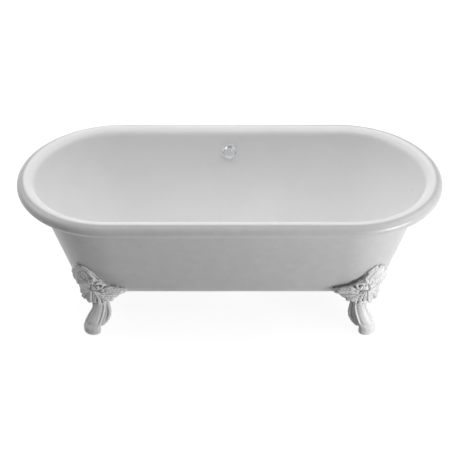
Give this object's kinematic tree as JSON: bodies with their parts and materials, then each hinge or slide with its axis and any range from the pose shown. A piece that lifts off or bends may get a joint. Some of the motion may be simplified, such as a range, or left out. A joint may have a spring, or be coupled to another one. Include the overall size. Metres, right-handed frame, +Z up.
{
  "type": "freestanding cast iron bathtub",
  "caption": "Double-ended roll-top bath of white enamelled cast iron on ornamental feet, with an overflow, a knob-worked pop-up waste and a trap.",
  "frame": {"origin": "on the floor below the middle of the bath, on the axis of the drain", "axes": "+X along the bath, +Y across it towards the overflow, +Z up"},
  "size_m": [1.75, 0.8, 0.63],
  "materials": {
    "white_enamel": "gloss white vitreous enamel on cast iron",
    "white_paint": "satin white paint on cast iron",
    "zinc_steel": "zinc-plated steel",
    "chrome_plate": "polished chrome on brass",
    "raw_brass": "turned brass",
    "black_rubber": "matte rubber",
    "grey_sheath": "matte plastic sheath"
  },
  "bodies": {
    "bath": {"tub_shell": "white_enamel", "foot_front_left": "white_paint", "foot_front_right": "white_paint", "foot_rear_left": "white_paint", "foot_rear_right": "white_paint", "foot_bolts": "zinc_steel", "foot_washers": "zinc_steel", "waste_flange": "chrome_plate", "waste_flange_seal": "black_rubber", "waste_gasket": "black_rubber", "waste_body": "chrome_plate", "lever_pin": "raw_brass", "cable_gland_lower": "chrome_plate", "overflow_faceplate": "chrome_plate", "cable_gland_upper": "chrome_plate", "overflow_gasket": "black_rubber", "overflow_housing": "chrome_plate", "housing_cover": "chrome_plate", "cover_screws": "zinc_steel", "overflow_pipe": "chrome_plate", "pipe_nut_upper": "chrome_plate", "pipe_seal_upper": "black_rubber", "pipe_nut_lower": "chrome_plate", "pipe_seal_lower": "black_rubber", "pipe_clips": "zinc_steel", "bowden_cable": "grey_sheath", "trap_union_nut": "chrome_plate", "trap_washer": "black_rubber", "trap_body": "chrome_plate", "cleaning_plug": "chrome_plate", "cleaning_seal": "black_rubber", "outlet_nut": "chrome_plate", "outlet_seal": "black_rubber"},
    "control_knob": {"overflow_knob": "chrome_plate", "knob_cap": "chrome_plate", "knob_screw": "raw_brass", "knob_spindle": "raw_brass", "cable_drum": "raw_brass", "cable_barrel_upper": "raw_brass"},
    "plug": {"plug_cap": "chrome_plate", "plug_seal": "black_rubber", "plug_stem": "raw_brass"},
    "lift_lever": {"lift_lever": "raw_brass", "cable_barrel_lower": "raw_brass"}
  },
  "joints": [
    {"name": "knob_turn", "type": "hinge", "parent": "bath", "child": "control_knob", "pos_m": [0, 0.30936, 0.533], "axis": [0, -0.9641, 0.2656], "range_deg": [0, 90]},
    {"name": "plug_lift", "type": "slide", "parent": "bath", "child": "plug", "axis": [0, 0, 1], "range_m": [0, 0.01101]},
    {"name": "lever_swing", "type": "hinge", "parent": "bath", "child": "lift_lever", "pos_m": [-0.018, 0, 0.09], "axis": [0, -1, 0], "range_deg": [0, 35.6]}
  ],
  "couplings": [
    {"joint": "plug_lift", "follows": "knob_turn", "m_per_rad": 0.0070028},
    {"joint": "lever_swing", "follows": "knob_turn", "ratio": 0.39537}
  ]
}
